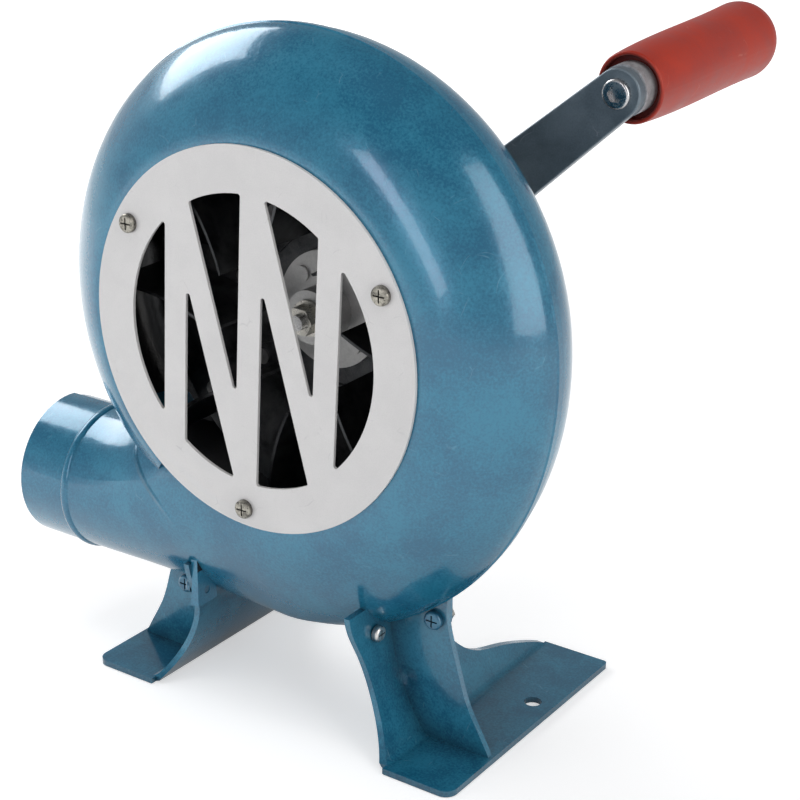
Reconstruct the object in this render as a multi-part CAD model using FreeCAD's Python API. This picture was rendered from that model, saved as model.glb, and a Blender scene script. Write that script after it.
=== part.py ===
import FreeCAD, Part
import math
import os

# Hand crank forge blower, millimetres, +Z up, shafts along Y, intake towards -Y, outlet towards -X.
# The origin lies on the bench, midway between the two foot holes.
# A depth is measured from the front of the intake grille towards the crank.

V = FreeCAD.Vector

# housing
intake_ahead = 77.0
axis_height = 159.0
wall = 1.2
scroll_r = 109.5
scroll_growth = 14.0
growth_power = 1.6
scroll_shrink = 11.0
shrink_from = 90.0
shrink_to = 232.0
shoulder_start_r = 74.2
shoulder_end_depth = 30.5
shoulder_power = 1.5
core_r = 65.0
section_low_r = 55.0
flat_r = (55.0, 62.0, 68.0, 72.0)
shoulder_steps = (0, 3, 7, 12, 20, 30, 42, 54, 66, 78)
flat_sink = 0.1
tail_sink = 0.2
core_recess = 3.0
back_trim = 0.4
cap_tolerance = 1e-5
seam_depth = 34.4
lap_length = 5.0
lap_clearance = 0.1
ridge_height = 0.5
ridge_half = 0.9
ridge_root = 0.4
ridge_to = 222.0
back_depth = 61.0
back_corner_r = 25.0
eye_r = 58.5

# outlet duct, half in each shell
duct_r = 29.8
duct_depth = 31.0
duct_drop = 86.8
duct_end_x = -122.6
duct_bead_x = -98.5
duct_bead_half = 2.4
duct_bead_height = 0.9

# intake grille
grille_r = 72.0
grille_thickness = 1.2
grille_open_r = 54.8
grille_turn = -3.0
bar_width = 10.0
bar_pitch = 34.3
slant_angle = 18.35
slant_pitch = 36.5
slot_corner_r = 1.0
grille_screw_circle_r = 65.3
grille_screw_angles = (150.0, 30.0, 270.0)
grille_screw_r = 2.0
grille_screw_head_r = 3.6
grille_screw_length = 8.0
grille_screw_head_height = 2.2

# impeller
impeller_r = 86.0
disc_thickness = 1.5
disc_depth = 51.0
blade_count = 8
blade_front_depth = 15.0
blade_inner_r = 30.0
blade_thickness = 1.2
blade_tab = 11.0
blade_rivet_off = 6.0
blade_foot = -6.2
blade_tip = 2.5
blade_bow = 4.6
blade_margin = 2.0
impeller_gap = 1.5
rivet_r = 1.6
rivet_head_r = 3.1
rivet_head_height = 1.2
rivet_tail_height = 0.7
blade_rivet_radii = (42.0, 74.0)
hub_flange_r = 23.0
hub_flange_thickness = 3.0
hub_boss_r = 10.5
hub_front_depth = 36.0
hub_rivet_circle_r = 17.0
hub_rivet_count = 4

# shafts, bearings and gears
fan_shaft_r = 4.0
fan_thread_r = 3.0
fan_nut_flats = 10.0
fan_nut_height = 5.0
fan_thread_spare = 2.0
fan_washer_r = 7.0
washer_thickness = 1.4
bearing_r = 11.0
bearing_width = 7.0
bearing_outer_land_r = 9.2
bearing_inner_land_r = 5.8
ball_r = 1.9
ball_count = 7
ball_clearance = 0.12
front_bearing_depth = 57.5
bearing_gap = 7.5
rear_bearing_depth = front_bearing_depth + bearing_width + bearing_gap
gear_module = 1.0
crank_gear_teeth = 63
pinion_teeth = 14
lay_gear_teeth = 56
tooth_addendum = 0.8
tooth_dedendum = 1.05
tooth_backlash = 0.24
pressure_angle = 20.0
crank_rise = 11.0
gear_to_bearing = 2.5
fast_gear_depth = rear_bearing_depth + bearing_width + gear_to_bearing
fast_gear_width = 9.0
gear_pair_gap = 3.5
slow_gear_depth = fast_gear_depth + fast_gear_width + gear_pair_gap
slow_gear_width = 8.0
pinion_overlap = 0.8
gear_rim = 4.5
crank_gear_hub_wall = 6.0
crank_gear_recess = 2.0
crank_gear_holes = 5
crank_gear_hole_r = 4.0
lay_gear_hub_wall = 5.0
lay_gear_recess = 2.5
lay_shaft_r = 4.0
crank_shaft_r = 6.0
bush_wall = 3.0
running_clearance = 0.03
shaft_end_gap = 1.0
bush_flange_out = 2.0
lay_bush_gap = 0.4
key_size = 3.0
circlip_thickness = 1.0
circlip_r = 8.0
circlip_groove = 0.6
circlip_gap = 3.0
circlip_gap_top = 1.6
crank_shaft_nose = 0.8
crank_square_relief = 0.3

# gear case
gasket_thickness = 0.6
case_floor = 5.0
case_wall = 4.0
case_flange_out = 8.5
case_flange_thickness = 4.5
gear_to_case = 0.7
gear_to_cover = 3.0
case_end_depth = slow_gear_depth + slow_gear_width + gear_to_cover
cover_thickness = 4.0
case_screw_r = 2.0
case_screw_head_r = 3.6
case_screw_head_height = 2.6
case_screws_on_crank_side = (-50.0, 25.0, 100.0)
case_screws_on_lay_side = (145.0, 206.0, 268.0)
case_nut_flats = 7.0
case_nut_height = 3.2
case_screw_spare = 1.0
cover_screw_short = 0.5
clear_hole_gap = 0.2
bearing_boss_wall = 4.0
boss_hole_gap = 1.0
bearing_shoulder = 1.5
lay_boss_wall = 3.0
lay_shaft_inset = 1.5
crank_boss_wall = 4.0
crank_boss_length = 4.6
lay_boss_length = 9.0
lay_cap_height = 2.0
oil_plug_r = 4.0
oil_plug_flats = 11.0
oil_plug_height = 5.0
oil_boss_r = 7.5
oil_boss_height = 3.5

# cross recess of a pan head screw, as shares of the head
recess_span = 1.3
recess_width = 0.16
recess_floor = 0.55
head_rounding = 0.45

# crank arm and grip
arm_gap = 0.8
arm_depth = case_end_depth + gasket_thickness + cover_thickness + crank_boss_length + arm_gap
arm_thickness = 4.5
arm_length = 107.4
arm_angle = 40.5
arm_hub_r = 13.0
arm_end_r = 9.4
arm_edge_r = 0.8
square_side = 8.4
crank_thread_r = 4.0
crank_washer_r = 8.5
crank_nut_flats = 13.0
crank_nut_height = 6.5
crank_thread_spare = 2.5
handle_lean = 2.4
spindle_r = 4.0
spindle_head_r = 5.75
spindle_head_height = 2.0
spindle_head_edge_r = 1.2
socket_flats = 5.6
socket_deep = 2.0
collar_r = 9.8
collar_length = 8.4
grip_from_arm = 9.8
grip_start = arm_depth + grip_from_arm
grip_length = 104.9
grip_rim_r = 13.8
grip_swell = ((14.5, 13.0), (15.1, 46.0), (15.75, 91.9))
grip_dome_bulge = (0.84, 0.6)
grip_mouth_r = 12.0
grip_mouth_gap = 0.6
grip_lip = 0.9
grip_wall_end = 18.0
grip_clearance = 0.08
clip_r = 5.6
clip_width = 1.6
clip_groove = 0.8
clip_gap = 0.4
clip_from_end = 6.0
spindle_end_gap = 1.5

# feet; heights are above the bench, and the outlines stretch with the axis height
foot_thickness = 2.5
foot_top_x = 40.0
foot_bottom_x = 57.0
# how far the tops of the feet and their fixings lie below the fan axis
foot_drop = 101.0
straight_drop = 105.0
web_reach_drop = 73.0
gusset_drop = 84.0
foot_drawn_top = 58.0
foot_stretch = (axis_height - foot_drop) / foot_drawn_top
foot_straight_z = axis_height - straight_drop
foot_bend_r = 4.0
foot_outer_x = 87.0
foot_front_depth = 3.0
foot_length = 119.3
foot_front_corner_r = 5.0
foot_rear_corner_r = 2.0
foot_hole_x = 78.0
foot_hole_r = 3.5
web_top_z = axis_height - foot_drop
web_top_depth = 16.0
web_reach_z = axis_height - web_reach_drop
web_toe = ((5.4, 2.5), (12.3, 12.5), (14.8, 25.0), (12.6, 39.0), (8.0, 50.0), (5.8, 58.0))
web_heel = ((121.0, 2.5), (109.5, 6.8), (94.0, 11.2), (76.0, 16.9), (68.5, 23.5), (58.0, 40.0), (50.0, 55.0))
gusset_top = (66.0, axis_height - gusset_drop)
gusset_outer = ((66.0, 64.0), (67.0, 48.5), (69.0, 41.5), (71.5, 33.0), (75.5, 21.0), (80.0, 12.5),
                (85.5, 2.5))
web_screw_r = 1.6
gusset_screw_r = 2.0
web_screw_head_r = 3.2
gusset_screw_head_r = 3.8
foot_screw_head_height = 2.6
foot_nut_flats = 7.0
foot_nut_height = 3.2
foot_screw_spare = 0.5
lug_thickness = 3.0
ear_thickness = 2.0
lug_half = 5.5
ear_r = 4.8
ear_rise = 24.0
# where each foot is screwed on: web screw depth and height, gusset screw x and height
right_fixings = (22.0, axis_height - 113.0, 60.5, axis_height - 105.4)
left_fixings = (13.0, axis_height - 113.6, 61.0, axis_height - 126.0)

lap_step = wall + lap_clearance
y_front = -intake_ahead


def y_at(depth):
    return y_front + depth


def up_y(x, z, depth):
    return V(x, y_at(depth), axis_height + z)


def rod(r, start, end, x=0.0, z=0.0):
    """A cylinder along Y between two depths; x and z are taken from the fan axis."""
    return Part.makeCylinder(r, end - start, up_y(x, z, start), V(0, 1, 0))


def tube(r_out, r_in, start, end, x=0.0, z=0.0):
    return rod(r_out, start, end, x, z).cut(rod(r_in, start - 1, end + 1, x, z))


def nut(flats, bore, start, end, x=0.0, z=0.0):
    return hexagon(flats, start, end, x, z).cut(rod(bore, start - 1, end + 1, x, z))


def hexagon(flats, start, end, x=0.0, z=0.0):
    corner = flats / math.sqrt(3)
    points = [up_y(x + corner * math.cos(math.radians(a)), z + corner * math.sin(math.radians(a)), start)
              for a in range(0, 361, 60)]
    return Part.Face(Part.makePolygon(points)).extrude(V(0, end - start, 0))


def slab(x0, x1, start, end, z0, z1):
    """A box; its z values are heights above the bench."""
    return Part.makeBox(x1 - x0, end - start, z1 - z0, V(x0, y_at(start), z0))


def joined(shapes):
    whole = shapes[0]
    for shape in shapes[1:]:
        whole = whole.fuse(shape)
    return whole.removeSplitter()


def united(shapes):
    """Joined without merging faces, for the shapes with free-form skins."""
    return shapes[0].fuse(tuple(shapes[1:]))


def cut_all(shape, tools):
    for tool in tools:
        shape = shape.cut(tool)
    return shape


def mirrored(shape):
    return shape.mirror(V(0, 0, 0), V(1, 0, 0))


def turned(shape, degrees, x=0.0, z=0.0):
    """Turn a shape about a Y axis through a point measured from the fan axis, clockwise seen from -Y."""
    copy = shape.copy()
    copy.rotate(up_y(x, z, 0), V(0, 1, 0), degrees)
    return copy


# Shaft places, from the fan axis.
fast_centres = gear_module * (lay_gear_teeth + pinion_teeth) / 2
slow_centres = gear_module * (crank_gear_teeth + pinion_teeth) / 2
lay_z = (fast_centres ** 2 - slow_centres ** 2 + crank_rise ** 2) / (2 * crank_rise)
lay_x = -math.sqrt(fast_centres ** 2 - lay_z ** 2)
crank_side_r = gear_module * (crank_gear_teeth / 2 + tooth_addendum) + gear_to_case + case_wall
lay_side_r = gear_module * (lay_gear_teeth / 2 + tooth_addendum) + gear_to_case + case_wall


def ease(share):
    """A smooth step from 0 to 1, level at both ends."""
    return share * share * (3 - 2 * share)


def rim_r(angle):
    """The scroll's radius in one direction, in degrees from +X towards +Z; the fan turns the other way."""
    if angle < 0:
        return scroll_r + scroll_growth * (-angle / 90.0) ** growth_power
    if angle > shrink_from:
        return scroll_r - scroll_shrink * ((angle - shrink_from) / (shrink_to - shrink_from)) ** 2
    return scroll_r


def between(a, b, share):
    return a[0] + (b[0] - a[0]) * share, a[1] + (b[1] - a[1]) * share


def steps(first, last, count):
    """Evenly spaced values from the first up to, but not with, the last."""
    return [first + (last - first) * i / count for i in range(count)]


def duct_angles():
    """Where the duct's section has its points, spaced as the scroll's are, with the rim at the bottom."""
    scroll = scroll_section(rim_r(-90.0), 0.0, flat_sink)
    run = [0.0]
    for a, b in zip(scroll, scroll[1:] + scroll[:1]):
        run.append(run[-1] + math.hypot(b[0] - a[0], b[1] - a[1]))
    lowest = run[len(flat_r) + len(shoulder_steps)]
    return [math.pi + 2 * math.pi * (length - lowest) / run[-1] for length in run[:-1]]


def round_section(inset):
    """The duct's round section, as (distance below the axis, depth)."""
    r = duct_r - inset
    return [(duct_drop - r * math.cos(a), duct_depth - r * math.sin(a)) for a in duct_angles()]


def scroll_section(rim, inset, sink):
    """The scroll's section: flat intake face, shoulder, rim, rear corner, flat back and round inner end."""
    rim -= inset
    first = grille_thickness + inset + sink
    last = back_depth + lap_step - inset + back_trim - sink
    corner = back_corner_r + lap_step - inset + back_trim
    turn = last - corner
    points = [(r, first) for r in flat_r]
    for angle in shoulder_steps:
        t = math.radians(angle)
        out = math.sin(t) ** (2 / shoulder_power)
        back = 1 - math.cos(t) ** (2 / shoulder_power)
        points.append((shoulder_start_r + (rim - shoulder_start_r) * out,
                       first + (shoulder_end_depth - first) * back))
    points += [(rim, depth) for depth in steps(shoulder_end_depth, turn, 2)]
    for angle in steps(0, 90, 6):
        t = math.radians(angle)
        points.append((rim - corner + corner * math.cos(t), turn + corner * math.sin(t)))
    points += [(r, last) for r in steps(rim - corner, section_low_r, 4)]
    middle = (first + last) / 2
    for angle in steps(90, 270, 8):
        t = math.radians(angle)
        r = section_low_r + section_low_r / 2 * math.cos(t)
        points.append((r, middle + (last - middle) * math.sin(t)))
    return points


def placed_section(points, place):
    made = [place(*p) for p in points]
    return made + made[:1]


def neck_points(x, inset):
    share = ease(max(1 - x / duct_bead_x, 0.0))
    scroll = scroll_section(rim_r(-90.0), inset, flat_sink)
    mixed = [between(a, b, share) for a, b in zip(round_section(inset), scroll)]
    return placed_section(mixed, lambda down, depth: V(x, y_at(depth), axis_height - down))


def turn_points(angle, inset):
    a = math.radians(angle)
    sink = flat_sink + tail_sink * (angle + 90.0) / (shrink_to + 90.0)
    points = scroll_section(rim_r(angle), inset, sink)
    return placed_section(points, lambda r, depth: up_y(r * math.cos(a), r * math.sin(a), depth))


def handles(points, marks, closed):
    """Poles of a smooth run through points, two for each point; the marks are its knots."""
    gaps = [b - a for a, b in zip(marks, marks[1:])]
    slopes = [(b - a) * (1 / gap) for a, b, gap in zip(points, points[1:], gaps)]
    last = len(gaps)
    poles = []
    for i, point in enumerate(points):
        before, after = max(i - 1, 0), min(i, last - 1)
        if closed:
            before, after = (i - 1) % last, i % last
        share = gaps[after] / (gaps[before] + gaps[after])
        slope = slopes[before] * share + slopes[after] * (1 - share)
        poles.append(point - slope * (gaps[i - 1] / 3) if i > 0 else point)
        poles.append(point + slope * (gaps[i] / 3) if i < last else point)
    return poles


def spaced(runs):
    """Knots for several runs of points, by the mean length of each of their steps."""
    marks = [0.0]
    for here, there in zip(runs, runs[1:]):
        steps_between = [a.distanceToPoint(b) for a, b in zip(here, there)]
        marks.append(marks[-1] + sum(steps_between) / len(steps_between))
    return marks


def skin_through(rows):
    """A smooth closed surface through closed rows of points, and its knots from row to row."""
    down = spaced(rows)
    across = spaced(list(zip(*rows)))
    grid = [handles(row, across, True) for row in rows]
    lines = [handles(line, down, False) for line in zip(*grid)]
    surface = Part.BSplineSurface()
    poles = [list(row) for row in zip(*lines)]
    surface.buildFromPolesMultsKnots(poles, knot_counts(down), knot_counts(across), down, across,
                                     False, False, 3, 3)
    return surface, down


def knot_counts(marks):
    return [4] + [2] * (len(marks) - 2) + [4]


def capped(surface):
    """A solid inside a closed surface, with flat ends."""
    ends = []
    for u in surface.bounds()[:2]:
        edge = surface.uIso(u).toShape()
        edge.fixTolerance(cap_tolerance)
        ends.append(Part.Face(Part.Wire([edge])))
    shell = Part.makeShell([surface.toShape()] + ends)
    shell.sewShape()
    solid = Part.Solid(Part.Shell(shell.Faces))
    if solid.Volume < 0:
        solid.reverse()
    return solid


def skinned(rows, split):
    """Two solids through closed rows of points, which meet at one of the rows."""
    whole, down = skin_through(rows)
    v0, v1 = whole.bounds()[2:]
    parts = []
    for start, end in ((down[0], down[split]), (down[split], down[-1])):
        part = whole.copy()
        part.segment(start, end, v0, v1)
        parts.append(capped(part))
    return parts


def form(inset, duct_spare=0.0):
    """The housing's form, filled in, at a depth below the front shell's outside."""
    rows = [neck_points(x, inset) for x in steps(duct_end_x - duct_spare, duct_bead_x, 3)]
    rows += [neck_points(x, inset) for x in steps(duct_bead_x, 0, 8)]
    split = len(rows)
    tail_end = shrink_to - math.degrees(inset / section_low_r)
    rows += [turn_points(a, inset) for a in steps(-90, tail_end, 22) + [tail_end]]
    back = back_depth + lap_step - inset
    core = rod(core_r, grille_thickness + inset + core_recess, back + 1)
    return in_depths(united(skinned(rows, split) + [core]), -5, back)


def room(inset):
    """What is hollow behind a wall whose outside is at the given depth."""
    return form(inset + wall, wall)


def ridge():
    """The thin raised line round the rim of the front shell."""
    turns = [math.radians(angle) for angle in steps(-90, ridge_to, 52) + [ridge_to]]
    runs = []
    for out, depth in ((-ridge_root, -ridge_half), (ridge_height, 0.0), (-ridge_root, ridge_half)):
        line = Part.BSplineCurve()
        line.interpolate([up_y((rim_r(math.degrees(a)) + out) * math.cos(a),
                               (rim_r(math.degrees(a)) + out) * math.sin(a),
                               shoulder_end_depth + depth) for a in turns])
        runs.append(line.toShape())
    sides = [Part.makeRuledSurface(a, b) for a, b in zip(runs, runs[1:] + runs[:1])]
    ends = []
    for end in (0, -1):
        corners = [run.Vertexes[end].Point for run in runs]
        ends.append(Part.Face(Part.makePolygon(corners + corners[:1])))
    shell = Part.makeShell(sides + ends)
    shell.sewShape()
    solid = Part.Solid(Part.Shell(shell.Faces))
    if solid.Volume < 0:
        solid.reverse()
    return solid


def duct_bead():
    """The raised rib round the duct where a hose would stop."""
    z = axis_height - duct_drop
    y = y_at(duct_depth)
    left = V(duct_bead_x - duct_bead_half, y, z + duct_r - wall / 2)
    right = V(duct_bead_x + duct_bead_half, y, z + duct_r - wall / 2)
    crest = V(duct_bead_x, y, z + duct_r + duct_bead_height)
    section = Part.Wire([Part.Arc(left, crest, right).toShape(), Part.makeLine(right, left)])
    return Part.Face(section).revolve(V(0, y, z), V(1, 0, 0), 360)


def in_depths(shape, start, end):
    reach = 3 * scroll_r
    return shape.common(slab(-reach, reach, start, end, -reach, reach))


def web_lug(fixings):
    """The tab under the front shell that one foot's web is screwed to, on the right side."""
    depth, z = fixings[:2]
    x = foot_top_x - foot_thickness
    tab = slab(x - lug_thickness, x + lug_thickness, depth - lug_half, depth + lug_half, z - lug_half,
               axis_height - core_r)
    return tab.cut(foot_blank()).common(foot_inside()).cut(web_screw_hole(fixings, 0))


def web_screw_hole(fixings, gap):
    depth, z = fixings[:2]
    return Part.makeCylinder(web_screw_r + gap, foot_top_x, V(foot_top_x / 2, y_at(depth), z), V(1, 0, 0))


def front_shell():
    skin = in_depths(form(0), -5, seam_depth)
    bead = in_depths(duct_bead(), -5, seam_depth)
    lugs = [web_lug(right_fixings), mirrored(web_lug(left_fixings))]
    eye = rod(eye_r, -1, shoulder_end_depth)
    shell = united([skin, bead, ridge()] + lugs).cut(united([room(0), eye]))
    holes = []
    for x, z in grille_screw_places():
        holes.append(rod(grille_screw_r, -1, grille_screw_length + 1, x, z))
    return cut_all(shell, holes)


def gusset_ear(fixings):
    """The ear on the rear shell that one foot's gusset is screwed to, on the right side."""
    x, z = fixings[2:]
    start = seam_depth
    end = seam_depth + ear_thickness
    ear = rod(ear_r, start, end, x, z - axis_height)
    neck = slab(x - ear_r, x + ear_r, start, end, z, z + ear_rise)
    return ear.fuse(neck).cut(gusset_screw_hole(fixings))


def gusset_screw_hole(fixings):
    x, z = fixings[2:]
    return rod(gusset_screw_r + clear_hole_gap, seam_depth - 9, seam_depth + 9, x, z - axis_height)


def rear_shell():
    lap_start = seam_depth - lap_length
    ears = [gusset_ear(right_fixings), mirrored(gusset_ear(left_fixings))]
    skin = in_depths(form(lap_step), lap_start, 2 * back_depth)
    shell = united([skin] + ears).cut(room(lap_step))
    holes = [rod(impeller_r + impeller_gap, lap_start, disc_depth + disc_thickness + impeller_gap),
             rod(bearing_r + bearing_boss_wall + boss_hole_gap, back_depth - 9, back_depth + 1)]
    for x, z in case_screw_places():
        holes.append(rod(case_screw_r + clear_hole_gap, back_depth - 9, back_depth + 1, x, z))
    return cut_all(shell, holes)


def grille_screw_places():
    for angle in grille_screw_angles:
        a = math.radians(angle + grille_turn)
        yield grille_screw_circle_r * math.cos(a), grille_screw_circle_r * math.sin(a)


def grille_slots():
    """The air slots with rounded corners: a disc less three uprights and two slanting bars."""
    long = 2 * grille_r
    face = Part.Face(Part.Wire([Part.makeCircle(grille_open_r, up_y(0, 0, -1), V(0, 1, 0))]))
    for place in (-1, 0, 1):
        x = place * bar_pitch
        face = face.cut(slab(x - bar_width / 2, x + bar_width / 2, -2, 2,
                             axis_height - long, axis_height + long))
    for side in (-0.5, 0.5):
        x = side * slant_pitch
        bar = slab(x - bar_width / 2, x + bar_width / 2, -2, 2,
                   axis_height - long, axis_height + long)
        face = face.cut(turned(bar, -slant_angle, x, 0))
    slots = []
    for piece in face.Faces:
        rounded = piece.makeOffset2D(-slot_corner_r).makeOffset2D(slot_corner_r)
        slots.append(rounded.extrude(V(0, grille_thickness + 2, 0)))
    return slots


def is_along_y(edge):
    if len(edge.Vertexes) != 2:
        return False
    a, b = (v.Point for v in edge.Vertexes)
    return abs(a.x - b.x) < 1e-6 and abs(a.z - b.z) < 1e-6


def intake_grille():
    plate = rod(grille_r, 0, grille_thickness)
    for slot in grille_slots():
        plate = plate.cut(turned(slot, -grille_turn))
    holes = [rod(grille_screw_r + clear_hole_gap, -1, grille_thickness + 1, x, z)
             for x, z in grille_screw_places()]
    return cut_all(plate, holes)


def pan_screw(r, head_r, head_height, length, x, z, face_depth, facing=-1):
    """A cross-recessed pan head screw along Y; its head stands on face_depth and faces -Y or +Y."""
    head = Part.makeCylinder(head_r, head_height, V(0, 0, 0), V(0, 0, 1))
    head = head.makeFillet(head_rounding * head_height, [head.Edges[0]])
    arm = recess_span * head_r
    slot = recess_width * head_r
    for w, h in ((arm, slot), (slot, arm)):
        box = Part.makeBox(w, h, head_height, V(-w / 2, -h / 2, recess_floor * head_height))
        head = head.cut(box)
    screw = head.fuse(Part.makeCylinder(r, length, V(0, 0, -length), V(0, 0, 1)))
    screw.rotate(V(0, 0, 0), V(1, 0, 0), -90 * facing)
    screw.translate(up_y(x, z, face_depth))
    return screw


def grille_screws():
    return [pan_screw(grille_screw_r, grille_screw_head_r, grille_screw_head_height, grille_screw_length,
                      x, z, 0)
            for x, z in grille_screw_places()]


# Impeller

def impeller_disc():
    disc = rod(impeller_r, disc_depth, disc_depth + disc_thickness)
    holes = [rod(hub_boss_r, disc_depth - 1, disc_depth + disc_thickness + 1)]
    holes += [rod(rivet_r, disc_depth - 5, disc_depth + 5, x, z) for x, z in rivet_places()]
    return cut_all(disc, holes)


def blade_line(radius):
    """How far the blade drawn at the top stands off the vertical through the fan axis, at one radius."""
    share = (radius - blade_inner_r) / (impeller_r - blade_margin - blade_inner_r)
    return blade_foot + (blade_tip - blade_foot) * share + blade_bow * 4 * share * (1 - share)


def blade_strip(width, start, end):
    """A bowed strip as wide as it is told, between two depths."""
    end_r = impeller_r - blade_margin

    def bow(offset):
        return [V(blade_line(r) + offset, y_at(start), axis_height + r)
                for r in (blade_inner_r, (blade_inner_r + end_r) / 2, end_r)]

    a, b, c = bow(0)
    d, e, f = bow(width)
    wire = Part.Wire([Part.Arc(a, b, c).toShape(), Part.makeLine(c, f), Part.Arc(f, e, d).toShape(),
                      Part.makeLine(d, a)])
    return Part.Face(wire).extrude(V(0, end - start, 0))


def blade():
    """One bowed blade with its tab on the disc, drawn at the top and turned into place."""
    vane = blade_strip(blade_thickness, blade_front_depth, disc_depth)
    tab = blade_strip(blade_tab, disc_depth - blade_thickness, disc_depth)
    room = rod(impeller_r - blade_margin, blade_front_depth - 1, disc_depth + 1)
    return vane.fuse(tab).removeSplitter().common(room)


def blade_rivet_place(radius):
    """Where a blade's tab is riveted, for the blade drawn at the top."""
    return blade_line(radius) + blade_rivet_off, radius


def rivet_places():
    places = []
    for i in range(blade_count):
        a = math.radians(360.0 * i / blade_count)
        for radius in blade_rivet_radii:
            x, z = blade_rivet_place(radius)
            places.append((x * math.cos(a) + z * math.sin(a), -x * math.sin(a) + z * math.cos(a)))
    return places + hub_rivet_places()


def hub_rivet_places():
    places = []
    for i in range(hub_rivet_count):
        a = math.radians(45 + 360.0 * i / hub_rivet_count)
        places.append((hub_rivet_circle_r * math.cos(a), hub_rivet_circle_r * math.sin(a)))
    return places


def impeller_blades():
    one = blade()
    holes = [rod(rivet_r, disc_depth - 5, disc_depth + 5, *blade_rivet_place(r)) for r in blade_rivet_radii]
    one = cut_all(one, holes)
    return [turned(one, 360.0 * i / blade_count) for i in range(blade_count)]


def rivet(x, z, front_depth):
    """A rivet with a full head in front and a lower one behind the disc."""
    front = front_depth - rivet_head_height
    back = disc_depth + disc_thickness
    end = back + rivet_tail_height
    return joined([rod(rivet_r, front, end, x, z), rod(rivet_head_r, front, front_depth, x, z),
                   rod(rivet_head_r, back, end, x, z)])


def impeller_rivets():
    tab_front = disc_depth - blade_thickness
    flange_front = disc_depth - hub_flange_thickness
    on_hub = hub_rivet_places()
    on_blades = rivet_places()[:-hub_rivet_count]
    return ([rivet(x, z, tab_front) for x, z in on_blades]
            + [rivet(x, z, flange_front) for x, z in on_hub])


def impeller_hub():
    flange = rod(hub_flange_r, disc_depth - hub_flange_thickness, disc_depth)
    boss = rod(hub_boss_r, hub_front_depth, front_bearing_depth - shaft_end_gap)
    hub = boss.fuse(flange)
    holes = [rod(fan_shaft_r, hub_front_depth - 1, front_bearing_depth)]
    holes += [rod(rivet_r, disc_depth - 9, disc_depth + 1, x, z) for x, z in hub_rivet_places()]
    return cut_all(hub, holes)


def fan_shaft():
    thread_start = hub_front_depth - washer_thickness - fan_nut_height - fan_thread_spare
    pinion_start = fast_gear_depth - pinion_overlap
    body = rod(fan_shaft_r, hub_front_depth, pinion_start)
    front = rod(fan_thread_r, thread_start, hub_front_depth)
    back = rod(fan_thread_r, pinion_start, fast_gear_depth + fast_gear_width + pinion_overlap)
    return joined([body, front, back])


def fan_washer():
    return tube(fan_washer_r, fan_thread_r, hub_front_depth - washer_thickness, hub_front_depth)


def fan_nut():
    end = hub_front_depth - washer_thickness
    return nut(fan_nut_flats, fan_thread_r, end - fan_nut_height, end)


def hub_spacer():
    """Keeps the impeller hub off the front bearing's inner ring."""
    return tube(bearing_inner_land_r, fan_shaft_r, front_bearing_depth - shaft_end_gap, front_bearing_depth)


# Bearings

def ball_path_r():
    return (bearing_outer_land_r + bearing_inner_land_r) / 2


def groove(depth):
    centre = up_y(0, 0, depth + bearing_width / 2)
    return Part.makeTorus(ball_path_r(), ball_r + ball_clearance, centre, V(0, 1, 0))


def outer_ring(depth):
    return tube(bearing_r, bearing_outer_land_r, depth, depth + bearing_width).cut(groove(depth))


def inner_ring(depth):
    return tube(bearing_inner_land_r, fan_shaft_r, depth, depth + bearing_width).cut(groove(depth))


def balls(depth):
    found = []
    for i in range(ball_count):
        a = 2 * math.pi * i / ball_count
        centre = up_y(ball_path_r() * math.cos(a), ball_path_r() * math.sin(a), depth + bearing_width / 2)
        found.append(Part.makeSphere(ball_r, centre))
    return found


# Gears

def involute_angle(radius, base_r):
    if radius <= base_r:
        return 0.0
    rolled = math.sqrt((radius / base_r) ** 2 - 1)
    return rolled - math.atan(rolled)


def gear_blank(teeth, start, end, x, z, tooth_at):
    """A spur gear with involute flanks; one tooth points along tooth_at, in degrees from +X to +Z."""
    pitch_r = gear_module * teeth / 2
    base_r = pitch_r * math.cos(math.radians(pressure_angle))
    root_r = pitch_r - gear_module * tooth_dedendum
    tip_r = pitch_r + gear_module * tooth_addendum
    half_at_pitch = (math.pi * gear_module / 2 - tooth_backlash / 2) / (2 * pitch_r)
    at_pitch = involute_angle(pitch_r, base_r)
    radii = [root_r, max(root_r, base_r), pitch_r, tip_r]
    if base_r <= root_r:
        radii = [root_r, (root_r + pitch_r) / 2, pitch_r, tip_r]
    points = []
    for i in range(teeth):
        middle = math.radians(tooth_at) + 2 * math.pi * i / teeth
        flank = [(r, half_at_pitch + at_pitch - involute_angle(r, base_r)) for r in radii]
        for r, half in flank:
            points.append((r, middle - half))
        for r, half in reversed(flank):
            points.append((r, middle + half))
    corners = [up_y(x + r * math.cos(a), z + r * math.sin(a), start) for r, a in points]
    corners.append(corners[0])
    return Part.Face(Part.makePolygon(corners)).extrude(V(0, end - start, 0))


slow_line = math.degrees(math.atan2(lay_z - crank_rise, lay_x))
fast_line = math.degrees(math.atan2(lay_z, lay_x))


def crank_gear():
    start = slow_gear_depth
    end = start + slow_gear_width
    gear = gear_blank(crank_gear_teeth, start, end, 0, crank_rise, slow_line)
    gear = gear.cut(rod(crank_shaft_r, start - 1, end + 1, 0, crank_rise))
    web_r = gear_module * crank_gear_teeth / 2 - gear_rim
    hub_r = crank_shaft_r + crank_gear_hub_wall
    for a, b in ((start - 1, start + crank_gear_recess), (end - crank_gear_recess, end + 1)):
        gear = gear.cut(tube(web_r, hub_r, a, b, 0, crank_rise))
    hole_path = (web_r + hub_r) / 2
    for i in range(crank_gear_holes):
        a = 2 * math.pi * (i + 0.5) / crank_gear_holes
        x = hole_path * math.cos(a)
        z = crank_rise + hole_path * math.sin(a)
        gear = gear.cut(rod(crank_gear_hole_r, start, end, x, z))
    return gear.cut(key_block(key_size))


def key_block(size):
    top = axis_height + crank_rise + crank_shaft_r
    return slab(-size / 2, size / 2, slow_gear_depth, slow_gear_depth + slow_gear_width,
                top - 0.5 * size, top + 0.5 * size)


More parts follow.
